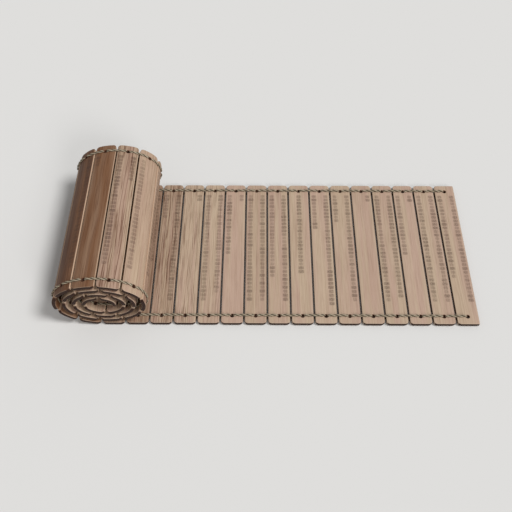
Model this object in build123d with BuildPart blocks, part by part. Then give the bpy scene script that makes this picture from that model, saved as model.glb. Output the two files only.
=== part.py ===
"""A bamboo slip book, partly rolled: a long mat of narrow slips held by two rows of lacing.

Millimetres. +X runs along the mat from the roll to the free end, +Y along the slips and +Z up.
The origin is on the ground under the middle of the whole book. Slip 1 is at the free end, and
the count goes along the mat into the middle of the roll.
"""

from build123d import *
import math
import os

# The slips
SLIP_COUNT = 42
FLAT_COUNT = 16
SLIP_LENGTH = 160.0
SLIP_WIDTH = 19.2
SLIP_THICKNESS = 3.1
SLIP_GAP = 1.6
CORNER_COUNT = 4
CORNER_RADIUS = 3.2
FREE_CORNER_RADIUS = 1.0

# The lacing holes, one near each end of a slip
HOLE_SIZE = 3.2
HOLE_SIDES = 6
HOLE_INSET = 7.7

# The lacing, two square strands in each row, side by side in every hole
STRAND_SIZE = 1.1
STRAND_GAP = 0.1
LACING_CLEARANCE = 0.1

# The roll, a squashed spiral that begins where the last flat slip ends
ROLL_RADIUS = 36.3
TURN_SPACING = 7.2
SQUASH_SHARE = 0.17
ROLL_START_TURN = 6.2 / 360

# Flat strips across a bent slip, and straight parts in a strand's span over bent slips
BEND_PARTS = 4
SPAN_PARTS = 3
FOLD_SPAN_PARTS = 4

# Slips that fold against the next by themselves, and the first of those grouped in the core
JOINTED_COUNT = 21
GROUPED_FROM = 38

PITCH = SLIP_WIDTH + SLIP_GAP
LACING_HEIGHT = LACING_CLEARANCE + STRAND_SIZE
FLAT_LEVEL = LACING_HEIGHT + SLIP_THICKNESS / 2
ROW_PLACES = (HOLE_INSET - SLIP_LENGTH / 2, SLIP_LENGTH / 2 - HOLE_INSET)
STEPS_PER_SLIP = 600
TO_NEAR_SIDE = (0, -1, 0)


def spiral(turn):
    """Place on the roll's spiral, from its centre, some turns after its lowest point."""
    radius = ROLL_RADIUS - TURN_SPACING * turn
    angle = math.tau * turn
    across = -radius * math.sin(angle) * (1 + SQUASH_SHARE)
    up = -radius * math.cos(angle) * (1 - SQUASH_SHARE)
    return across, up


def march(length):
    """Places on the spiral at equal steps along it, from the end of the flat part inwards."""
    step = PITCH / STEPS_PER_SLIP
    small_turn = 1 / STEPS_PER_SLIP**2
    places = []
    turn = ROLL_START_TURN
    while len(places) * step <= length:
        places.append(spiral(turn))
        rate = math.dist(places[-1], spiral(turn + small_turn)) / small_turn
        middle = turn + step / rate / 2
        rate = math.dist(spiral(middle), spiral(middle + small_turn)) / small_turn
        turn += step / rate
    return places


# The roll's places are from its own centre, and the book is centred on X over its whole reach.
ROLL_PLACES = march((SLIP_COUNT - FLAT_COUNT + 1) * PITCH)
ROLL_REACH = max(-across for across, up in ROLL_PLACES) + SLIP_THICKNESS / 2 + LACING_HEIGHT
FLAT_REACH = ROLL_PLACES[0][0] + FLAT_COUNT * PITCH - SLIP_GAP / 2
ROLL_X = (ROLL_REACH - FLAT_REACH) / 2
ROLL_Z = FLAT_LEVEL - ROLL_PLACES[0][1]
FOLD_X = ROLL_X + ROLL_PLACES[0][0]


def middle_line(distance):
    """Place on the slips' middle line, a distance past the start of the roll."""
    if distance <= 0:
        return Vector(FOLD_X - distance, 0, FLAT_LEVEL)
    across, up = ROLL_PLACES[round(distance / PITCH * STEPS_PER_SLIP)]
    return Vector(ROLL_X + across, 0, ROLL_Z + up)


def front(distance):
    """Direction of the side that is written on, which faces up or into the roll."""
    ahead = middle_line(distance + SLIP_GAP / 2)
    course = (ahead - middle_line(distance - SLIP_GAP / 2)).normalized()
    return Vector(course.Z, 0, -course.X)


def into_roll(facing):
    """Direction along the mat into the roll, square to the front."""
    return Vector(-facing.Z, 0, facing.X)


def slip_middle(number):
    """Distance of a slip's middle past the start of the roll."""
    return (number - FLAT_COUNT) * PITCH - PITCH / 2


def outline(places, place_y):
    """Closed outline through places in X and Z, facing the near side, at a place on Y."""
    with BuildSketch(Plane.XZ.offset(-place_y)) as sketch:
        with BuildLine():
            Polyline(*[(place.X, place.Z) for place in places], close=True)
        make_face()
    return sketch.sketch


def slip_section(number):
    """Cross-section of a slip at its far end, flat, or bent to the roll."""
    parts = BEND_PARTS if number > FLAT_COUNT else 1
    start = slip_middle(number) - SLIP_WIDTH / 2
    stops = [start + SLIP_WIDTH * part / parts for part in range(parts + 1)]
    half = SLIP_THICKNESS / 2
    back_edge = [middle_line(stop) - front(stop) * half for stop in stops]
    front_edge = [middle_line(stop) + front(stop) * half for stop in stops]
    return outline(back_edge + front_edge[::-1], SLIP_LENGTH / 2)


def slip(number):
    """One slip, with rounded corners and two lacing holes square to its face."""
    middle = slip_middle(number)
    with BuildPart() as piece:
        extrude(slip_section(number), amount=SLIP_LENGTH, dir=TO_NEAR_SIDE)
        corners = piece.edges().filter_by(Axis.Y, reverse=True).sort_by(SortBy.LENGTH)[:CORNER_COUNT]
        if number > 1:
            fillet(corners, CORNER_RADIUS)
        else:
            fillet(corners.sort_by(Axis.X)[:2], CORNER_RADIUS)
            fillet(piece.edges().filter_by(Axis.Z).sort_by(Axis.X)[-2:], FREE_CORNER_RADIUS)
        for row in ROW_PLACES:
            centre = middle_line(middle) + Vector(0, row, 0)
            with BuildSketch(Plane(origin=centre, x_dir=(0, 1, 0), z_dir=front(middle))):
                RegularPolygon(HOLE_SIZE / 2, HOLE_SIDES, major_radius=False)
            extrude(amount=SLIP_THICKNESS, both=True, mode=Mode.SUBTRACT)
    return piece.part


def stitch_section(number, side, far_edge):
    """Outline of a strand from one slip's hole over the gap to the next slip's hole.

    The leg fills the strand's share of the hole, and the span lies on the front where side is
    1 and on the back where it is -1. The next stitch's leg takes over where the span ends.
    Over bent slips the span stands clear of the corners between straight parts. The strands
    end in the last slip's holes, in a leg each.
    """
    parts = span_parts(number)
    start = slip_middle(number)
    stops = [start + PITCH * part / parts for part in range(parts + 1)]
    places = [middle_line(stop) for stop in stops]
    fronts = [front(stop) for stop in stops]
    part_length = PITCH / parts if side < 0 else SLIP_WIDTH / BEND_PARTS
    part_sag = arc_height(part_length, sharpest_bend(places, fronts))
    near = SLIP_THICKNESS / 2 + LACING_CLEARANCE
    heights = [near + part_sag if stop > 0 else near for stop in stops]
    inner = [place + facing * side * height
             for place, facing, height in zip(places, fronts, heights)]
    outer = [place + facing * side * STRAND_SIZE for place, facing in zip(inner, fronts)]
    foot = side * (SLIP_THICKNESS / 2 + LACING_HEIGHT)
    leg_foot = places[0] - fronts[0] * foot
    end_foot = places[-1] - fronts[-1] * foot
    half_leg = into_roll(fronts[0]) * STRAND_SIZE / 2
    half_end = into_roll(fronts[-1]) * STRAND_SIZE / 2
    leg = [inner[0] + half_leg, leg_foot + half_leg, leg_foot - half_leg, outer[0] - half_leg]
    end = [outer[-1] - half_end, inner[-1] - half_end]
    if number + 1 == SLIP_COUNT:
        last_leg = [end_foot + half_end, end_foot - half_end]
        end = [outer[-1] + half_end, *last_leg, inner[-1] - half_end]
    return outline([*leg, *outer[1:-1], *end, *inner[-2:0:-1]], far_edge)


def span_parts(number):
    """Straight parts of a span: one over flat slips, and an even number over the fold."""
    if number < FLAT_COUNT:
        return 1
    return FOLD_SPAN_PARTS if number == FLAT_COUNT else SPAN_PARTS


def arc_height(chord, bend):
    """How far an arc of some bend, in radians a millimetre, stands off its chord."""
    half_turn = chord * bend / 2
    return chord * half_turn / 4


def sharpest_bend(places, fronts):
    """The most that the middle line turns between two places, in radians a millimetre."""
    steps = zip(places, places[1:], fronts, fronts[1:])
    return max(
        math.radians(before.get_angle(after)) / (end - start).length
        for start, end, before, after in steps
    )


def stitches(first, last):
    """The strands from one slip to another, in both rows and on both sides."""
    offset = (STRAND_SIZE + STRAND_GAP) / 2
    with BuildPart() as lacing:
        for number in range(first, last):
            for side in (1, -1):
                swap = side if number % 2 else -side
                for row in ROW_PLACES:
                    far_edge = row + swap * offset + STRAND_SIZE / 2
                    section = stitch_section(number, side, far_edge)
                    extrude(section, amount=STRAND_SIZE, dir=TO_NEAR_SIDE)
    return lacing.part


def save(part, name):
    part.label = name
    export_step(part, f"parts/{name}.step")


os.makedirs("parts", exist_ok=True)
for number in range(1, GROUPED_FROM):
    save(slip(number), f"slip_{number:02d}")
with BuildPart() as inner_slips:
    for number in range(GROUPED_FROM, SLIP_COUNT + 1):
        add(slip(number))
save(inner_slips.part, "inner_slips")
for number in range(1, JOINTED_COUNT + 1):
    save(stitches(number, number + 1), f"lacing_{number:02d}")
save(stitches(JOINTED_COUNT + 1, SLIP_COUNT), "roll_lacing")
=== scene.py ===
"""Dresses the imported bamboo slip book: its slips, its twisted lacing, and the light and camera."""

import math

import bmesh
import bpy
from mathutils import Matrix, Vector


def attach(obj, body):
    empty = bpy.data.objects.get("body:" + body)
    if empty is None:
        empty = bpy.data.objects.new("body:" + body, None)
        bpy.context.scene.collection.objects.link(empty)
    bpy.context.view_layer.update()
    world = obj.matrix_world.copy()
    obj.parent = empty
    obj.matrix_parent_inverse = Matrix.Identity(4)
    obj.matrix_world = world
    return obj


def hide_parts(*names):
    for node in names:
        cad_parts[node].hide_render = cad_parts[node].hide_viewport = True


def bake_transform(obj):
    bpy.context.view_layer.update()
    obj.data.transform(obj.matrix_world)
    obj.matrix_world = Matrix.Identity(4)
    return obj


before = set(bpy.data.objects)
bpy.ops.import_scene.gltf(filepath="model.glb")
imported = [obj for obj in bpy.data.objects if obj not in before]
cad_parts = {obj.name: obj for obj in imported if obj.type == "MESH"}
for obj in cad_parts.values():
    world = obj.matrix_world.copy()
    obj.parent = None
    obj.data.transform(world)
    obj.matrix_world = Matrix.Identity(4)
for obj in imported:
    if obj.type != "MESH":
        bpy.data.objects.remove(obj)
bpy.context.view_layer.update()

MM = 0.001

# The slips, in millimetres. Slip 1 is at the free end, and the count goes into the roll.
SLIP_COUNT = 42
FLAT_COUNT = 16
SLIP_LENGTH = 160.0
SLIP_WIDTH = 19.2
SLIP_THICKNESS = 3.1
SLIP_GAP = 1.6
CORNER_RADIUS = 3.2
FREE_CORNER_RADIUS = 1.0
HOLE_RADIUS = 1.55
HOLE_INSET = 7.7
LACING_HEIGHT = 1.2

# The roll, a squashed spiral that begins where the last flat slip ends
ROLL_RADIUS = 36.3
TURN_SPACING = 7.2
SQUASH_SHARE = 0.17
ROLL_START_TURN = 6.2 / 360

# Slips that fold against the next by themselves, the slip at which the roll's outer turn comes
# down over the flat slips, and the first of the slips that share one node
JOINTED_COUNT = 21
OVER_FLAT_FROM = 25
GROUPED_FROM = 38

PITCH = SLIP_WIDTH + SLIP_GAP
FLAT_LEVEL = LACING_HEIGHT + SLIP_THICKNESS / 2
ROW_PLACES = (HOLE_INSET - SLIP_LENGTH / 2, SLIP_LENGTH / 2 - HOLE_INSET)
STEPS_PER_SLIP = 600


def spiral(turn):
    """Place on the roll's spiral, from its centre, some turns after its lowest point."""
    radius = ROLL_RADIUS - TURN_SPACING * turn
    angle = math.tau * turn
    across = -radius * math.sin(angle) * (1 + SQUASH_SHARE)
    up = -radius * math.cos(angle) * (1 - SQUASH_SHARE)
    return across, up


def march(length):
    """Places on the spiral at equal steps along it, from the end of the flat part inwards."""
    step = PITCH / STEPS_PER_SLIP
    small_turn = 1 / STEPS_PER_SLIP**2
    places = []
    turn = ROLL_START_TURN
    while len(places) * step <= length:
        places.append(spiral(turn))
        rate = math.dist(places[-1], spiral(turn + small_turn)) / small_turn
        middle = turn + step / rate / 2
        rate = math.dist(spiral(middle), spiral(middle + small_turn)) / small_turn
        turn += step / rate
    return places


# The roll's places are from its own centre, and the book is centred on X over its whole reach.
ROLL_PLACES = march((SLIP_COUNT - FLAT_COUNT + 1) * PITCH)
ROLL_REACH = max(-across for across, up in ROLL_PLACES) + SLIP_THICKNESS / 2 + LACING_HEIGHT
FLAT_REACH = ROLL_PLACES[0][0] + FLAT_COUNT * PITCH - SLIP_GAP / 2
ROLL_X = (ROLL_REACH - FLAT_REACH) / 2
ROLL_Z = FLAT_LEVEL - ROLL_PLACES[0][1]
FOLD_X = ROLL_X + ROLL_PLACES[0][0]


def middle_line(distance):
    """Place on the slips' middle line, in X and Z, a distance past the start of the roll."""
    if distance <= 0:
        return Vector((FOLD_X - distance, FLAT_LEVEL))
    step = distance / PITCH * STEPS_PER_SLIP
    index = min(int(step), len(ROLL_PLACES) - 2)
    before, after = Vector(ROLL_PLACES[index]), Vector(ROLL_PLACES[index + 1])
    return before.lerp(after, step - index) + Vector((ROLL_X, ROLL_Z))


def front(distance):
    """Direction of the written side at a place on the middle line."""
    along = middle_line(distance + SLIP_GAP / 2) - middle_line(distance - SLIP_GAP / 2)
    return Vector((along.y, -along.x)).normalized()


def slip_middle(number):
    """Distance of a slip's middle past the start of the roll."""
    return (number - FLAT_COUNT - 1 / 2) * PITCH


def place(distance, length_place, height):
    """Point in metres from places along the mat, along the slips and above the middle line."""
    point = middle_line(distance) + front(distance) * height
    return Vector((point.x, length_place, point.y)) * MM


def body_of(number):
    """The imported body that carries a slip."""
    return f"leaf_{number:02d}" if number <= JOINTED_COUNT else "core"


# Slip meshes, in millimetres

BEVEL = 0.4
BEVEL_STEPS = 2
CORNER_STEPS = 6
HOLE_STEPS = 28

# The cuts along a slip at which it bends, and how near points have to be to become one
WIDTH_CUTS = 9
MERGE_DISTANCE = 0.008
SHARP_ANGLE = math.radians(40)


def arc_points(centre_x, centre_y, radius, start, sweep, steps):
    """Points at equal steps along an arc, with both its ends."""
    angles = [start + sweep * step / steps for step in range(steps + 1)]
    return [(centre_x + radius * math.cos(a), centre_y + radius * math.sin(a)) for a in angles]


def slip_outline(number):
    """Outline of a slip seen from its front, inwards by the bevel. +x leads into the roll."""
    half_width = SLIP_WIDTH / 2 - BEVEL
    half_length = SLIP_LENGTH / 2 - BEVEL
    points = []
    for quarter, (side, end) in enumerate(((1, 1), (-1, 1), (-1, -1), (1, -1))):
        free = number == 1 and side < 0
        radius = (FREE_CORNER_RADIUS if free else CORNER_RADIUS) - BEVEL
        points += arc_points(
            side * (half_width - radius), end * (half_length - radius), radius,
            quarter * math.pi / 2, math.pi / 2, CORNER_STEPS,
        )
    return points


def add_loop(curve, points):
    """Adds a closed outline through some points to a curve."""
    spline = curve.splines.new("POLY")
    spline.points.add(len(points) - 1)
    for target, (x, y) in zip(spline.points, points):
        target.co = (x, y, 0, 1)
    spline.use_cyclic_u = True


def flat_slip(number):
    """A slip as a flat mesh in millimetres, with bevelled edges and drilled holes."""
    curve = bpy.data.curves.new("slip_shape", "CURVE")
    curve.dimensions = "2D"
    curve.fill_mode = "BOTH"
    curve.extrude = SLIP_THICKNESS / 2 - BEVEL
    curve.bevel_depth = BEVEL
    curve.bevel_resolution = BEVEL_STEPS
    add_loop(curve, slip_outline(number))
    for row in ROW_PLACES:
        hole = arc_points(0, row, HOLE_RADIUS + BEVEL, 0, -math.tau, HOLE_STEPS)
        add_loop(curve, hole[:-1])
    carrier = bpy.data.objects.new("slip_shape", curve)
    mesh = bpy.data.meshes.new_from_object(carrier)
    bpy.data.objects.remove(carrier)
    bpy.data.curves.remove(curve)
    return mesh


def slip_mesh(number, mesh_name):
    """A slip's mesh in its place, bent to the roll, with its layout kept as a UV map."""
    mesh = flat_slip(number)
    shape = bmesh.new()
    shape.from_mesh(mesh)
    bmesh.ops.remove_doubles(shape, verts=shape.verts, dist=MERGE_DISTANCE)
    for cut in range(1, WIDTH_CUTS + 1):
        at = SLIP_WIDTH * (cut / (WIDTH_CUTS + 1) - 1 / 2)
        parts = [*shape.verts, *shape.edges, *shape.faces]
        bmesh.ops.bisect_plane(shape, geom=parts, plane_co=(at, 0, 0), plane_no=(1, 0, 0))
    bmesh.ops.remove_doubles(shape, verts=shape.verts, dist=MERGE_DISTANCE)
    bmesh.ops.dissolve_degenerate(shape, edges=shape.edges, dist=MERGE_DISTANCE)
    layout = shape.loops.layers.uv.new("layout")
    for face in shape.faces:
        for corner in face.loops:
            x, y, _ = corner.vert.co
            corner[layout].uv = (x / SLIP_WIDTH + 1 / 2, y / SLIP_LENGTH + 1 / 2)
    middle = slip_middle(number)
    for vertex in shape.verts:
        x, y, height = vertex.co
        vertex.co = place(middle + x, y, height)
    bmesh.ops.recalc_face_normals(shape, faces=shape.faces)
    for face in shape.faces:
        face.smooth = True
    shape.to_mesh(mesh)
    shape.free()
    mesh.name = mesh_name
    mesh.set_sharp_from_angle(angle=SHARP_ANGLE)
    return mesh


# How each slip looks, one line a slip: the wood, the marks and how dark they are.
# Wood: tone from pale 0 to brown 1 and on to dark brown, pink from yellowish 0 to pinkish 1, and
# streaks from 0 to 1.
# Marks: the share of their run that they cover towards the roll, away from it and in the middle.
# All further slips share one look.
PLAIN_INK = 0.8
LOOKS = {
    1: ((0.06, 0.65, 0.05), (0.73, 0.93, 0), PLAIN_INK),
    2: ((0.06, 0.55, 0.05), (0.93, 0.93, 0), PLAIN_INK),
    3: ((0.05, 0.85, 0.00), (0.54, 0.08, 0), PLAIN_INK),
    4: ((0.08, 0.45, 0.05), (0.93, 0.88, 0), PLAIN_INK),
    5: ((0.08, 0.35, 0.00), (0.00, 0.08, 0), PLAIN_INK),
    6: ((0.08, 0.60, 0.05), (0.25, 0.93, 0), PLAIN_INK),
    7: ((0.04, 0.65, 0.00), (0.33, 0.94, 0), PLAIN_INK),
    8: ((0.06, 0.45, 0.05), (0.00, 0.00, 0.71), PLAIN_INK),
    9: ((0.08, 0.70, 0.08), (0.74, 0.93, 0), PLAIN_INK),
    10: ((0.13, 0.40, 0.12), (0.92, 0.93, 0), PLAIN_INK),
    11: ((0.08, 0.90, 0.00), (0.54, 0.08, 0), PLAIN_INK),
    12: ((0.00, 0.45, 0.28), (0.93, 0.85, 0), 0.7),
    13: ((0.00, 0.30, 0.52), (0.00, 0.07, 0), 0.7),
    14: ((0.20, 0.40, 0.95), (0.22, 0.93, 0), PLAIN_INK),
    15: ((0.50, 0.50, 0.60), (0.90, 0.60, 0), PLAIN_INK),
    16: ((0.40, 0.50, 0.60), (0.60, 0.90, 0), PLAIN_INK),
    17: ((0.75, 0.30, 0.50), (0.90, 0.00, 0), PLAIN_INK),
    18: ((0.80, 0.30, 0.50), (0.90, 0.30, 0), PLAIN_INK),
    19: ((0.90, 0.30, 0.50), (0.90, 0.20, 0), 0.6),
    # Slip 20 faces left, away from the key lamp; its dark brown tone is partly wood, partly painted
    # shade
    20: ((1.35, 0.40, 0.95), (0.92, 0.00, 0), 0.9),
    21: ((0.90, 0.20, 0.70), (0.00, 0.10, 0), PLAIN_INK),
    22: ((0.28, 0.70, 0.85), (0.22, 0.93, 0), 0.9),
    23: ((0.25, 0.50, 0.16), (0.00, 0.93, 0), 0.7),
    24: ((0.45, 0.90, 0.35), (0.50, 0.90, 0), PLAIN_INK),
}
FURTHER_LOOK = ((0.28, 0.50, 0.20), (0.60, 0.60, 0), PLAIN_INK)

# How far a slip's noise lies from the next one's, and the second noise's share of that
SEED_STEP = 7.31
OTHER_SEED_SHARE = 0.43


def store(mesh, name, values):
    """Keeps the same three values on every point of a mesh, for its material."""
    attribute = mesh.attributes.new(name, "FLOAT_VECTOR", "POINT")
    attribute.data.foreach_set("vector", list(values) * len(mesh.vertices))


def dressed_slip(number, mesh_name):
    """A slip's mesh, with what its material needs to know of its looks."""
    wood, marks, ink = LOOKS.get(number, FURTHER_LOOK)
    mesh = slip_mesh(number, mesh_name)
    store(mesh, "wood_look", wood)
    store(mesh, "marks_look", marks)
    # Slips in the roll get pale sides, the flat ones sides darkened with painted shade
    unshaded_sides = 1 if number > FLAT_COUNT else 0
    store(mesh, "ink_seed_sides", (ink, number * SEED_STEP, unshaded_sides))
    return mesh


# Materials

class Nodes:
    """Short calls that add shader nodes to one material."""

    def __init__(self, name):
        self.material = bpy.data.materials.new(name)
        self.material.use_nodes = True
        self.tree = self.material.node_tree
        self.shader = self.tree.nodes["Principled BSDF"]

    def put(self, target, value):
        """Links a socket to its target, or sets the target to a plain value."""
        if isinstance(value, bpy.types.NodeSocket):
            self.tree.links.new(value, target)
        else:
            target.default_value = value

    def math(self, operation, *values):
        node = self.tree.nodes.new("ShaderNodeMath")
        node.operation = operation
        for target, value in zip(node.inputs, values):
            self.put(target, value)
        return node.outputs[0]

    def vector(self, x, y, z):
        node = self.tree.nodes.new("ShaderNodeCombineXYZ")
        for target, value in zip(node.inputs, (x, y, z)):
            self.put(target, value)
        return node.outputs[0]

    def split(self, value):
        node = self.tree.nodes.new("ShaderNodeSeparateXYZ")
        self.put(node.inputs[0], value)
        return node.outputs

    def kept(self, name):
        """The three values that a mesh keeps under a name."""
        node = self.tree.nodes.new("ShaderNodeAttribute")
        node.attribute_name = name
        return self.split(node.outputs["Vector"])

    def layout(self):
        """The two places in the piece's UV map."""
        node = self.tree.nodes.new("ShaderNodeUVMap")
        node.uv_map = "layout"
        u, v, _ = self.split(node.outputs[0])
        return u, v

    def noise(self, place_seen, detail=2.0, roughness=0.5):
        node = self.tree.nodes.new("ShaderNodeTexNoise")
        self.put(node.inputs["Vector"], place_seen)
        node.inputs["Scale"].default_value = 1.0
        node.inputs["Detail"].default_value = detail
        node.inputs["Roughness"].default_value = roughness
        return node.outputs["Fac"]

    def grain(self, x, y, seed, across, along, *texture):
        """Noise whose spots are so many millimetres across the slip and along it."""
        return self.noise(self.vector(self.div(x, across), self.div(y, along), seed), *texture)

    def ramp(self, value, low, high):
        """0 below low and 1 above high, with a smooth step between."""
        node = self.tree.nodes.new("ShaderNodeMapRange")
        node.interpolation_type = "SMOOTHSTEP"
        self.put(node.inputs["Value"], value)
        self.put(node.inputs["From Min"], low)
        self.put(node.inputs["From Max"], high)
        return node.outputs[0]

    def mix(self, factor, first, second):
        """The first colour at a factor of 0 and the second at 1."""
        node = self.tree.nodes.new("ShaderNodeMix")
        node.data_type = "RGBA"
        names = [socket.identifier for socket in node.inputs]
        self.put(node.inputs["Factor"], factor)
        self.put(node.inputs[names.index("A_Color")], first)
        self.put(node.inputs[names.index("B_Color")], second)
        return [socket for socket in node.outputs if socket.identifier == "Result_Color"][0]

    def bump(self, height, strength, distance):
        """Lets a pattern stand out on the surface."""
        node = self.tree.nodes.new("ShaderNodeBump")
        node.inputs["Strength"].default_value = strength
        node.inputs["Distance"].default_value = distance
        self.put(node.inputs["Height"], height)
        self.put(self.shader.inputs["Normal"], node.outputs[0])

    def add(self, *values):
        return self.math("ADD", *values)

    def sub(self, *values):
        return self.math("SUBTRACT", *values)

    def mul(self, *values):
        return self.math("MULTIPLY", *values)

    def div(self, *values):
        return self.math("DIVIDE", *values)

    def spread(self, noise, strength):
        """Noise as a change either way, up to about half the strength."""
        return self.mul(self.sub(noise, 0.5), strength)

    def scaled(self, value, slope, start):
        """A value that begins at start and rises with another by a slope."""
        return self.add(self.mul(value, slope), start)


def colour(red, green, blue):
    """An sRGB colour of 0 to 255 as linear values for a socket, by the standard's formula."""
    values = []
    for part in (red, green, blue):
        share = part / 255
        values.append(share / 12.92 if share < 0.04045 else ((share + 0.055) / 1.055) ** 2.4)
    return (*values, 1)


PALE_YELLOW = colour(193, 171, 147)
PALE_PINK = colour(193, 165, 147)
BROWN = colour(120, 83, 56)
DARK_BROWN = colour(84, 57, 43)
GRAIN_BROWN = colour(140, 108, 86)
STREAK_BROWN = colour(96, 62, 44)
INK = colour(74, 54, 44)
# The end colours are dark end grain made darker still with painted shade
END_GRAIN_AND_SHADE = colour(42, 23, 15)
END_SPOTS_AND_SHADE = colour(72, 45, 30)
# The hole colour is painted shade, on the hole walls and on the cords where they go into holes
HOLE_SHADE = colour(84, 52, 36)
# The dark side colour is painted shade in the gaps between the flat slips
GAP_SHADE_SIDE = colour(112, 84, 64)
PALE_SIDE_WOOD = colour(196, 166, 140)
# The pale edge colour is partly wear and partly painted highlight
WORN_EDGE_AND_HIGHLIGHT = colour(224, 206, 184)

# Patterns in the wood: the size of their spots across and along the slip, in millimetres,
# then how detailed and how rough they are
SWAY_PATTERN = (25, 60)
BAND_PATTERN = (6, 160, 1)
PATCH_PATTERN = (9, 70)
FINE_PATTERN = (0.7, 24, 3, 0.65)
LINE_PATTERN = (0.8, 46, 4, 0.65)
THREAD_PATTERN = (0.9, 55, 0)
SWAY_WIDTH = 2.6

# The noise at which each pattern starts to show, and at which it shows in full
HUE_LEVELS = (0.36, 0.72)
FINE_LEVELS = (0.40, 0.66)
SOFT_LINE_LEVELS = (0.50, 0.66)
SHARP_LINE_LEVELS = (0.56, 0.61)
THREAD_LEVELS = (0.54, 0.64)

# The tones between which brown wood turns dark brown
DARK_TONES = (1.0, 1.6)

# How strongly the patterns show. Where there are two shares, the first comes with a slip's
# streaks, and the second is there on every slip.
FINE_SHARES = (0.25, 0.24)
SOFT_LINE_SHARES = (0.55, 0.14)
SHARP_LINE_SHARE = 0.65
THREAD_SHARE = 0.45

# How far a slip's pink, the patches and the bands change the wood. The last two show more the
# browner a slip is, and by the plain tone on the palest.
PINK_SPREAD = 0.3
PATCH_SPREAD = 0.5
BAND_SPREAD = 0.5
PLAIN_TONE = 0.2


def grained_wood(n, x, y, seed):
    """The colour of bare wood, and its two finest patterns."""
    tone, pink, streak = n.kept("wood_look")
    other_seed = n.mul(seed, OTHER_SEED_SHARE)
    x_grain = n.add(x, n.spread(n.grain(x, y, seed, *SWAY_PATTERN), SWAY_WIDTH))
    bands = n.grain(x_grain, y, seed, *BAND_PATTERN)
    patches = n.grain(x_grain, y, other_seed, *PATCH_PATTERN)
    fine = n.grain(x_grain, y, seed, *FINE_PATTERN)
    lines = n.grain(x_grain, y, other_seed, *LINE_PATTERN)
    threads = n.grain(x_grain, y, seed, *THREAD_PATTERN)

    hue = n.ramp(n.add(bands, n.spread(pink, PINK_SPREAD)), *HUE_LEVELS)
    wood = n.mix(hue, PALE_YELLOW, PALE_PINK)
    change = n.add(n.spread(patches, PATCH_SPREAD), n.spread(bands, BAND_SPREAD))
    browning = n.add(tone, n.mul(change, n.add(tone, PLAIN_TONE)))
    wood = n.mix(n.math("MAXIMUM", browning, 0.0), wood, BROWN)
    wood = n.mix(n.ramp(browning, *DARK_TONES), wood, DARK_BROWN)
    fine_look = n.mul(n.ramp(fine, *FINE_LEVELS), n.scaled(streak, *FINE_SHARES))
    wood = n.mix(fine_look, wood, GRAIN_BROWN)
    soft_lines = n.mul(n.ramp(lines, *SOFT_LINE_LEVELS), n.scaled(streak, *SOFT_LINE_SHARES))
    wood = n.mix(soft_lines, wood, STREAK_BROWN)
    sharp_lines = n.mul(n.ramp(lines, *SHARP_LINE_LEVELS), n.mul(streak, SHARP_LINE_SHARE))
    wood = n.mix(sharp_lines, wood, STREAK_BROWN)
    thread_look = n.mul(n.ramp(threads, *THREAD_LEVELS), n.mul(streak, THREAD_SHARE))
    return n.mix(thread_look, wood, STREAK_BROWN), fine, lines


# The marks: two columns of faded blocks, or one in the middle, in millimetres
COLUMN_PLACE = 5.8
MARKS_FAR_MARGIN = 12.5
MARKS_NEAR_MARGIN = 9.5
MARKS_TOP = SLIP_LENGTH / 2 - MARKS_FAR_MARGIN
MARKS_RUN = SLIP_LENGTH - MARKS_FAR_MARGIN - MARKS_NEAR_MARGIN
MARK_PITCH = 4.3
MARK_HALF_HEIGHT = 2.15
MARK_HALF_WIDTH = 2.5
MARK_WIDTH_SPREAD = 0.9
MARK_SPOT = 0.6

# How square a block is, and the shares of its half size between which its edge fades
MARK_SQUARENESS = 4.0
MARK_FADE_SHARES = (0.6, 1.1)

# A block's darkness: the share that changes from block to block and the share that all have.
# Then the same for the spots in it, and the noise at which spots start and show in full.
BLOCK_SHARES = (0.5, 0.6)
SPOT_SHARES = (0.55, 0.32)
SPOT_LEVELS = (0.35, 0.65)


def ink_marks(n, x, y, seed):
    """Columns of faded, mottled blocks that stand for writing and are no letters."""
    reaches = n.kept("marks_look")
    down = n.sub(MARKS_TOP, y)
    row = n.math("FLOOR", n.div(down, MARK_PITCH))
    row_place = n.sub(n.sub(down, n.mul(row, MARK_PITCH)), MARK_PITCH / 2)
    mottle = n.ramp(n.grain(x, y, seed, across=MARK_SPOT, along=MARK_SPOT), *SPOT_LEVELS)
    total = None
    for column, (at, reach) in enumerate(zip((COLUMN_PLACE, -COLUMN_PLACE, 0), reaches)):
        chance = n.tree.nodes.new("ShaderNodeTexWhiteNoise")
        n.put(chance.inputs["Vector"], n.vector(n.add(row, seed), column, 0))
        luck = chance.outputs["Value"]
        width = n.add(MARK_HALF_WIDTH, n.spread(luck, MARK_WIDTH_SPREAD))
        across = n.div(n.math("ABSOLUTE", n.sub(x, at)), width)
        along = n.div(n.math("ABSOLUTE", row_place), MARK_HALF_HEIGHT)
        powers = [n.math("POWER", share, MARK_SQUARENESS) for share in (across, along)]
        from_middle = n.math("POWER", n.add(*powers), 1 / MARK_SQUARENESS)
        block = n.sub(1.0, n.ramp(from_middle, *MARK_FADE_SHARES))
        rows = n.math("FLOOR", n.mul(reach, MARKS_RUN / MARK_PITCH))
        inside = n.mul(n.math("GREATER_THAN", down, 0), n.math("LESS_THAN", row, rows))
        block = n.mul(n.mul(block, inside), n.scaled(luck, *BLOCK_SHARES))
        total = block if total is None else n.math("MAXIMUM", total, block)
    return n.mul(total, n.scaled(mottle, *SPOT_SHARES))


# Edges and ends, in millimetres: how far in the worn edge with its painted highlight and the
# side's colour start, the side's colour being painted shade on the flat slips, where the painted
# shade in a hole ends, and the size of the end grain's spots
WEAR_AND_HIGHLIGHT_WIDTH = 0.5
SIDE_START = 0.24
HOLE_EDGE_START = HOLE_RADIUS + BEVEL / 2
HOLE_EDGE_END = HOLE_EDGE_START + BEVEL
PORE_SIZE = 0.7

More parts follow.
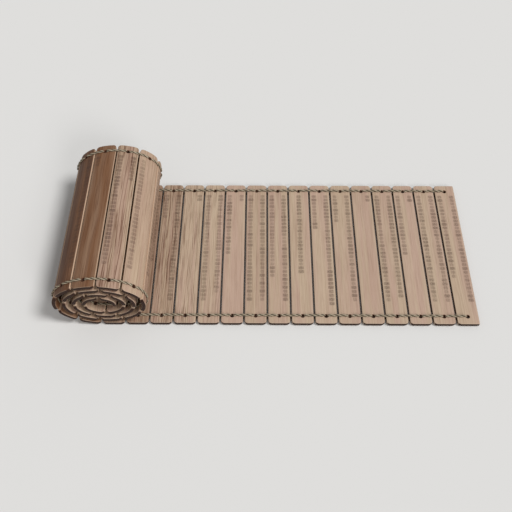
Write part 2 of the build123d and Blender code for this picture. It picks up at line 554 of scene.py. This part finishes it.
# How pale the worn edges with their painted highlight are, and how far a face turns to a slip's
# end where the dark end grain with its painted shade starts and shows in full. Then the noise at
# which its pale spots start and show in full.
WEAR_AND_HIGHLIGHT_SHARE = 0.4
END_FACING = (0.5, 0.7)
PORE_LEVELS = (0.45, 0.75)


def edges_and_ends(n, wood, x, y, unshaded_sides):
    """Adds to the wood's colour the worn edges with a painted highlight, the sides with painted
    shade on the flat slips, the dark end grain with painted shade, and painted shade in the holes.
    """
    past_side = n.sub(n.math("ABSOLUTE", x), SLIP_WIDTH / 2)
    end = n.math("ABSOLUTE", y)
    past_end = n.sub(end, SLIP_LENGTH / 2)
    # Pale rim along the edges: partly wear, partly painted highlight
    wear_and_highlight = n.ramp(n.math("MAXIMUM", past_side, past_end), -WEAR_AND_HIGHLIGHT_WIDTH, -WEAR_AND_HIGHLIGHT_WIDTH / 2)
    wood = n.mix(n.mul(wear_and_highlight, WEAR_AND_HIGHLIGHT_SHARE), wood, WORN_EDGE_AND_HIGHLIGHT)
    # Painted shade on the flat slips' sides, in the gaps; the slips of the roll keep pale sides
    side_colour = n.mix(unshaded_sides, GAP_SHADE_SIDE, PALE_SIDE_WOOD)
    wood = n.mix(n.ramp(past_side, -SIDE_START, -SIDE_START / 2), wood, side_colour)

    coordinates = n.tree.nodes.new("ShaderNodeTexCoord")
    spot = n.tree.nodes.new("ShaderNodeVectorMath")
    spot.operation = "SCALE"
    n.put(spot.inputs[0], coordinates.outputs["Object"])
    spot.inputs["Scale"].default_value = 1 / (PORE_SIZE * MM)
    pores = n.noise(spot.outputs[0])
    # Dark end grain, made darker still with painted shade
    end_grain_and_shade = n.mix(n.ramp(pores, *PORE_LEVELS), END_GRAIN_AND_SHADE, END_SPOTS_AND_SHADE)
    facing_end = n.math("ABSOLUTE", n.split(coordinates.outputs["Normal"])["Y"])
    wood = n.mix(n.ramp(facing_end, *END_FACING), wood, end_grain_and_shade)

    # Painted shade in the hole, over its wall and the bevel round it
    hole_place = n.sub(end, SLIP_LENGTH / 2 - HOLE_INSET)
    from_hole = n.math("SQRT", n.add(n.mul(x, x), n.mul(hole_place, hole_place)))
    hole_shade = n.sub(1.0, n.ramp(from_hole, HOLE_EDGE_START, HOLE_EDGE_END))
    return n.mix(hole_shade, wood, HOLE_SHADE)


# The wood's surface: its roughness, as what the fine grain adds and what is always there, its
# shine, and its grain's height, in millimetres, with the lines' share of it
WOOD_ROUGHNESS = (0.2, 0.5)
WOOD_SHINE = 0.2
LINE_DEPTH_SHARE = 0.8
GRAIN_STRENGTH = 0.3
GRAIN_DEPTH = 0.15


def bamboo():
    """Dry, unvarnished slips: fine grain along the slip, streaks, faded marks, dark end grain;
    painted shade on the end grain, the flat slips' sides and the holes, painted highlight on
    the worn edges.
    """
    n = Nodes("bamboo")
    u, v = n.layout()
    x = n.mul(n.sub(u, 0.5), SLIP_WIDTH)
    y = n.mul(n.sub(v, 0.5), SLIP_LENGTH)
    ink, seed, unshaded_sides = n.kept("ink_seed_sides")
    wood, fine, lines = grained_wood(n, x, y, seed)
    wood = n.mix(n.mul(ink_marks(n, x, y, seed), ink), wood, INK)
    wood = edges_and_ends(n, wood, x, y, unshaded_sides)
    n.put(n.shader.inputs["Base Color"], wood)
    n.put(n.shader.inputs["Roughness"], n.scaled(fine, *WOOD_ROUGHNESS))
    n.shader.inputs["Specular IOR Level"].default_value = WOOD_SHINE
    n.bump(n.add(fine, n.mul(lines, LINE_DEPTH_SHARE)), GRAIN_STRENGTH, GRAIN_DEPTH * MM)
    return n.material


CORD_PALE = colour(184, 173, 151)
CORD_SHADE = colour(134, 120, 100)
# The darkest cord colour is painted shade in the grooves between the plies
CORD_GROOVE_SHADE = colour(66, 52, 40)

# The cord's fibres: how many lie round a ply, how many of them its slant crosses in a
# millimetre, how often they change in one, and how detailed and how rough their noise is. Then
# how often the soil changes in a millimetre, and its seed.
FIBRES_AROUND = 12
FIBRE_SLANT = 2.5
FIBRE_CHANGE = 0.5
FIBRE_TEXTURE = (3, 0.7)
SOIL_CHANGE = 0.12
SOIL_SEED = 3

# The noise at which pale fibres and soil start and show in full, and the shares of the way
# round a ply between which the painted shade in the groove beside the other ply fades
FIBRE_LEVELS = (0.35, 0.68)
SOIL_LEVELS = (0.45, 0.7)
GROOVE_SHADE_EDGES = (0.20, 0.31)

# How strongly the soil, the painted shade in the groove and the painted shadow in a hole take
# over the cord's colour
SOIL_SHARE = 0.3
GROOVE_SHADE_SHARE = 0.9
HOLE_SHADE_SHARE = 0.95

# The cord's surface, with its fibres' height in millimetres
CORD_ROUGHNESS = 0.85
CORD_SHINE = 0.2
FIBRE_STRENGTH = 0.6
FIBRE_DEPTH = 0.12


def cord_look():
    """Two-ply twisted cord of plant fibre, grey beige, with painted shade in its grooves and holes."""
    n = Nodes("cord")
    around, along = n.layout()
    sunk, _, _ = n.kept("sunk")
    slant = n.add(n.mul(around, FIBRES_AROUND), n.mul(along, FIBRE_SLANT))
    fibres = n.noise(n.vector(slant, n.mul(along, FIBRE_CHANGE), 0), *FIBRE_TEXTURE)
    soil = n.noise(n.vector(0, n.mul(along, SOIL_CHANGE), SOIL_SEED))
    tint = n.mix(n.ramp(fibres, *FIBRE_LEVELS), CORD_SHADE, CORD_PALE)
    tint = n.mix(n.mul(n.ramp(soil, *SOIL_LEVELS), SOIL_SHARE), tint, CORD_SHADE)
    # Painted shade in the groove, on the side of each ply that faces the other ply
    from_inner = n.math("ABSOLUTE", n.sub(around, 0.5))
    groove_shade = n.sub(1.0, n.ramp(from_inner, *GROOVE_SHADE_EDGES))
    tint = n.mix(n.mul(groove_shade, GROOVE_SHADE_SHARE), tint, CORD_GROOVE_SHADE)
    # Painted shadow on the cord as it goes down into a hole
    tint = n.mix(n.mul(sunk, HOLE_SHADE_SHARE), tint, HOLE_SHADE)
    n.put(n.shader.inputs["Base Color"], tint)
    n.shader.inputs["Roughness"].default_value = CORD_ROUGHNESS
    n.shader.inputs["Specular IOR Level"].default_value = CORD_SHINE
    n.bump(fibres, FIBRE_STRENGTH, FIBRE_DEPTH * MM)
    return n.material


# Lacing meshes, in millimetres

CORD_RADIUS = 1.2

# A cord's height for its width: under the mat and where slips lie on each other, and round the
# outside of the roll
THIN_SHARE = 0.5
PRESSED_SHARE = 0.72

# The plies: their radius, the turn each starts at, the length of a full twist in millimetres,
# and how far a stitch's twist is from the stitch before
PLY_SHARE = 0.58
PLY_TURNS = (0.0, 0.5)
TWIST_LENGTH = 11.0
TWIST_STEP_SHARE = 0.37
PLY_SIDES = 10

# A cord's bend out of a hole: how far along the mat its curve starts, bends and ends, how far
# aside it starts, and how thin, up to the share of the bend where it begins to widen
LEG_PLACE = 0.3
LEG_BEND_PLACE = 1.05
LEG_REACH = 2.9
LEG_APART = 0.45
LEG_SIZE_SHARE = 0.42
WIDENING_SHARE = 0.25

# How high above a slip's face a cord leaves the shadow of its hole
SHADOW_HEIGHT = 0.7

# The steps of a bend, and the length of a step between the bends
BEND_STEPS = 8
SPAN_STEP = 0.65


def smooth(value):
    """0 up to 0 and 1 from 1 on, with a smooth step between."""
    value = min(max(value, 0.0), 1.0)
    return value * value * (3 - 2 * value)


def height_share(number, side):
    """A cord's height for its width, which is full on the front of the open part only."""
    if side > 0:
        return THIN_SHARE if number >= FLAT_COUNT - 1 else 1
    return PRESSED_SHARE if FLAT_COUNT < number < OVER_FLAT_FROM else THIN_SHARE


def stitch_route(number, side):
    """The middle of one stitch: distance along the mat, shift, height, size and a hole's shadow.

    It comes up from the middle of one hole, beside the other cord, lies on the face over the
    gap and goes down into the next hole.
    """
    start, end = slip_middle(number), slip_middle(number + 1)
    flat = height_share(number, side)
    lying = SLIP_THICKNESS / 2 + CORD_RADIUS * flat
    swap = side if number % 2 else -side
    bend = []
    for step in range(BEND_STEPS):
        share = step / BEND_STEPS
        rest = 1 - share
        along = rest * rest * LEG_PLACE + 2 * share * rest * LEG_BEND_PLACE + share * share * LEG_REACH
        height = (1 - rest * rest) * lying
        widened = smooth((share - WIDENING_SHARE) / (1 - WIDENING_SHARE))
        size = LEG_SIZE_SHARE + (1 - LEG_SIZE_SHARE) * widened
        sunk = 1 - smooth((height - SLIP_THICKNESS / 2) / SHADOW_HEIGHT)
        bend.append((along, swap * LEG_APART * rest * rest, height, size, sunk))
    run = end - start - 2 * LEG_REACH
    count = round(run / SPAN_STEP)
    span = [(start + LEG_REACH + run * step / count, 0, lying, 1, 0) for step in range(count + 1)]
    rise = [(start + along, shift, *others) for along, shift, *others in bend]
    fall = [(end - along, -shift, *others) for along, shift, *others in reversed(bend)]
    return [(along, shift, side * height, size, sunk)
            for along, shift, height, size, sunk in rise + span + fall], flat


def ply_rings(number, side, row, turn):
    """Rings of points round one ply of a stitch, in metres, with the way gone and the shadow."""
    route, flat = stitch_route(number, side)
    ply_radius = CORD_RADIUS * PLY_SHARE
    offset = CORD_RADIUS - ply_radius
    middles = [place(along, row + shift, height) for along, shift, height, _, _ in route]
    rings = []
    travelled = 0.0
    sideways = Vector((0, 1, 0))
    for index, (middle, (_, _, _, size, sunk)) in enumerate(zip(middles, route)):
        before = middles[max(index - 1, 0)]
        after = middles[min(index + 1, len(middles) - 1)]
        if index:
            travelled += (middle - before).length / MM
        upright = (after - before).cross(sideways).normalized()
        twist = math.tau * (travelled / TWIST_LENGTH + turn + number * TWIST_STEP_SHARE)

        def around(angle, radius):
            return (sideways * math.cos(angle) + upright * math.sin(angle) * flat) * radius * size * MM

        corners = [math.tau * corner / PLY_SIDES for corner in range(PLY_SIDES)]
        ring = [middle + around(twist, offset) + around(twist + spin, ply_radius) for spin in corners]
        rings.append((ring, travelled, sunk))
    return rings


def add_tube(shape, layout, shadow, rings):
    """Adds a closed tube through some rings, with its layout and the shadow on it."""
    rows = []
    for ring, _, sunk in rings:
        rows.append([shape.verts.new(point) for point in ring])
        for vertex in rows[-1]:
            vertex[shadow] = (sunk, 0, 0)
    lengths = [travelled for _, travelled, _ in rings]
    for index in range(len(rows) - 1):
        for corner in range(PLY_SIDES):
            after = (corner + 1) % PLY_SIDES
            face = shape.faces.new((rows[index][corner], rows[index][after],
                                    rows[index + 1][after], rows[index + 1][corner]))
            face.smooth = True
            arounds = (corner, corner + 1, corner + 1, corner)
            ends = (index, index, index + 1, index + 1)
            for loop, around, ring_index in zip(face.loops, arounds, ends):
                loop[layout].uv = (around / PLY_SIDES, lengths[ring_index])
    shape.faces.new(reversed(rows[0]))
    shape.faces.new(rows[-1])


def lacing_mesh(numbers, mesh_name):
    """The cords over the gaps after some slips, in both rows and on both sides."""
    shape = bmesh.new()
    layout = shape.loops.layers.uv.new("layout")
    shadow = shape.verts.layers.float_vector.new("sunk")
    for number in numbers:
        for side in (1, -1):
            for row in ROW_PLACES:
                for turn in PLY_TURNS:
                    add_tube(shape, layout, shadow, ply_rings(number, side, row, turn))
    bmesh.ops.recalc_face_normals(shape, faces=shape.faces)
    mesh = bpy.data.meshes.new(mesh_name)
    shape.to_mesh(mesh)
    shape.free()
    return mesh


def add_piece(name, mesh, material):
    """Puts a mesh in the scene as a piece of one material."""
    mesh.materials.append(material)
    piece = bpy.data.objects.new(name, mesh)
    bpy.context.scene.collection.objects.link(piece)
    return piece


def joined(meshes, mesh_name):
    """One mesh made of several."""
    shape = bmesh.new()
    for mesh in meshes:
        shape.from_mesh(mesh)
    whole = bpy.data.meshes.new(mesh_name)
    shape.to_mesh(whole)
    shape.free()
    return whole


# Pieces

BAMBOO = bamboo()
CORD = cord_look()

for number in range(1, GROUPED_FROM):
    piece = add_piece(f"bamboo_{number:02d}", dressed_slip(number, f"bamboo_{number:02d}"), BAMBOO)
    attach(piece, body_of(number))
    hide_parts(f"slip_{number:02d}")

inner_numbers = range(GROUPED_FROM, SLIP_COUNT + 1)
inner_meshes = [dressed_slip(number, f"inner_{number}") for number in inner_numbers]
piece = add_piece("bamboo_inner", joined(inner_meshes, "bamboo_inner"), BAMBOO)
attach(piece, "core")
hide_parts("inner_slips")

for number in range(1, JOINTED_COUNT + 1):
    piece = add_piece(f"cord_{number:02d}", lacing_mesh([number], f"cord_{number:02d}"), CORD)
    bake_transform(piece)
    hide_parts(f"lacing_{number:02d}")

piece = add_piece("cord_roll", lacing_mesh(range(JOINTED_COUNT + 1, SLIP_COUNT), "cord_roll"), CORD)
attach(piece, "core")
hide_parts("roll_lacing")


# Floor, light and camera

# The floor, a square with its side in metres, matt and without shine
FLOOR_COLOUR = colour(222, 221, 219)
FLOOR_SIZE = 40.0
FLOOR_ROUGHNESS = 1.0
FLOOR_SHINE = 0.0

# The light's shares add up to about 1 on a level face, where 1 shows a colour as it is written.
WORLD_SHARE = 0.33
KEY_SHARE = 0.56
FILL_SHARE = 0.12
BACKGROUND_SHARE = 0.75

# The directions to the lamps, and how wide each lamp looks from the book
KEY_DIRECTION = (3.3, -1.2, 5.25)
FILL_DIRECTION = (3.2, -5.2, 3.5)
LAMP_SPREAD = math.radians(18)
WHITE = (1, 1, 1, 1)


def lay_floor():
    """A wide pale floor under the book."""
    half = FLOOR_SIZE / 2
    corner_places = [(-half, -half, 0), (half, -half, 0), (half, half, 0), (-half, half, 0)]
    mesh = bpy.data.meshes.new("floor")
    mesh.from_pydata(corner_places, [], [(0, 1, 2, 3)])
    look = Nodes("floor")
    look.shader.inputs["Base Color"].default_value = FLOOR_COLOUR
    look.shader.inputs["Roughness"].default_value = FLOOR_ROUGHNESS
    look.shader.inputs["Specular IOR Level"].default_value = FLOOR_SHINE
    mesh.materials.append(look.material)
    floor = bpy.data.objects.new("floor", mesh)
    bpy.context.scene.collection.objects.link(floor)


def light_world():
    """Even white light all round, and a pale background where the camera sees past the floor."""
    world = bpy.data.worlds.new("studio")
    world.use_nodes = True
    tree = world.node_tree
    rays = tree.nodes.new("ShaderNodeLightPath")
    strength = tree.nodes.new("ShaderNodeMapRange")
    strength.inputs["To Min"].default_value = WORLD_SHARE
    strength.inputs["To Max"].default_value = BACKGROUND_SHARE
    tree.links.new(rays.outputs["Is Camera Ray"], strength.inputs["Value"])
    background = tree.nodes["Background"]
    background.inputs["Color"].default_value = WHITE
    tree.links.new(strength.outputs[0], background.inputs["Strength"])
    bpy.context.scene.world = world


def far_lamp(name, towards, share):
    """A soft lamp far away in some direction, which gives its share of the light on a level face."""
    lamp = bpy.data.lights.new(name, "SUN")
    direction = Vector(towards).normalized()
    lamp.energy = share * math.pi / direction.z
    lamp.angle = LAMP_SPREAD
    holder = bpy.data.objects.new(name, lamp)
    holder.rotation_euler = direction.to_track_quat("Z", "Y").to_euler()
    bpy.context.scene.collection.objects.link(holder)


lay_floor()
light_world()
far_lamp("key", KEY_DIRECTION, KEY_SHARE)
far_lamp("fill", FILL_DIRECTION, FILL_SHARE)

# The photograph's camera, fitted to the slips' gaps and ends. Its place is in slip pitches from
# the mat's near corner at the free end, half a gap past slip 1, level with the slips' tops. The
# sensor's width is in millimetres.
FOCAL_PIXELS = 720.4
PHOTO_PIXELS = 512
SENSOR_WIDTH = 36.0
CAMERA_PLACE = (-9.2932, -15.3795, 26.3775)
PITCH_DOWN = math.radians(54.425)
YAW = math.radians(-0.653)
ROLL_ANGLE = math.radians(-0.291)


def camera_turn():
    """Rotation from the camera to the frame."""
    look = Matrix(((1, 0, 0), (0, 0, -1), (0, 1, 0)))
    down = Matrix.Rotation(PITCH_DOWN, 3, "X")
    yaw = Matrix.Rotation(YAW, 3, "Z")
    roll = Matrix.Rotation(ROLL_ANGLE, 3, "Z")
    return (roll @ down @ look @ yaw).transposed() @ Matrix.Diagonal((1, -1, -1))


camera_data = bpy.data.cameras.new("camera")
camera_data.sensor_width = SENSOR_WIDTH
camera_data.lens = FOCAL_PIXELS / PHOTO_PIXELS * SENSOR_WIDTH
camera = bpy.data.objects.new("camera", camera_data)
across, back, up = (part * PITCH for part in CAMERA_PLACE)
camera_place = Vector((FOLD_X + FLAT_COUNT * PITCH + across, back - SLIP_LENGTH / 2,
                       up + LACING_HEIGHT + SLIP_THICKNESS)) * MM
camera.matrix_world = Matrix.Translation(camera_place) @ camera_turn().to_4x4()
bpy.context.scene.collection.objects.link(camera)
bpy.context.scene.camera = camera
bpy.context.scene.view_settings.view_transform = "Standard"
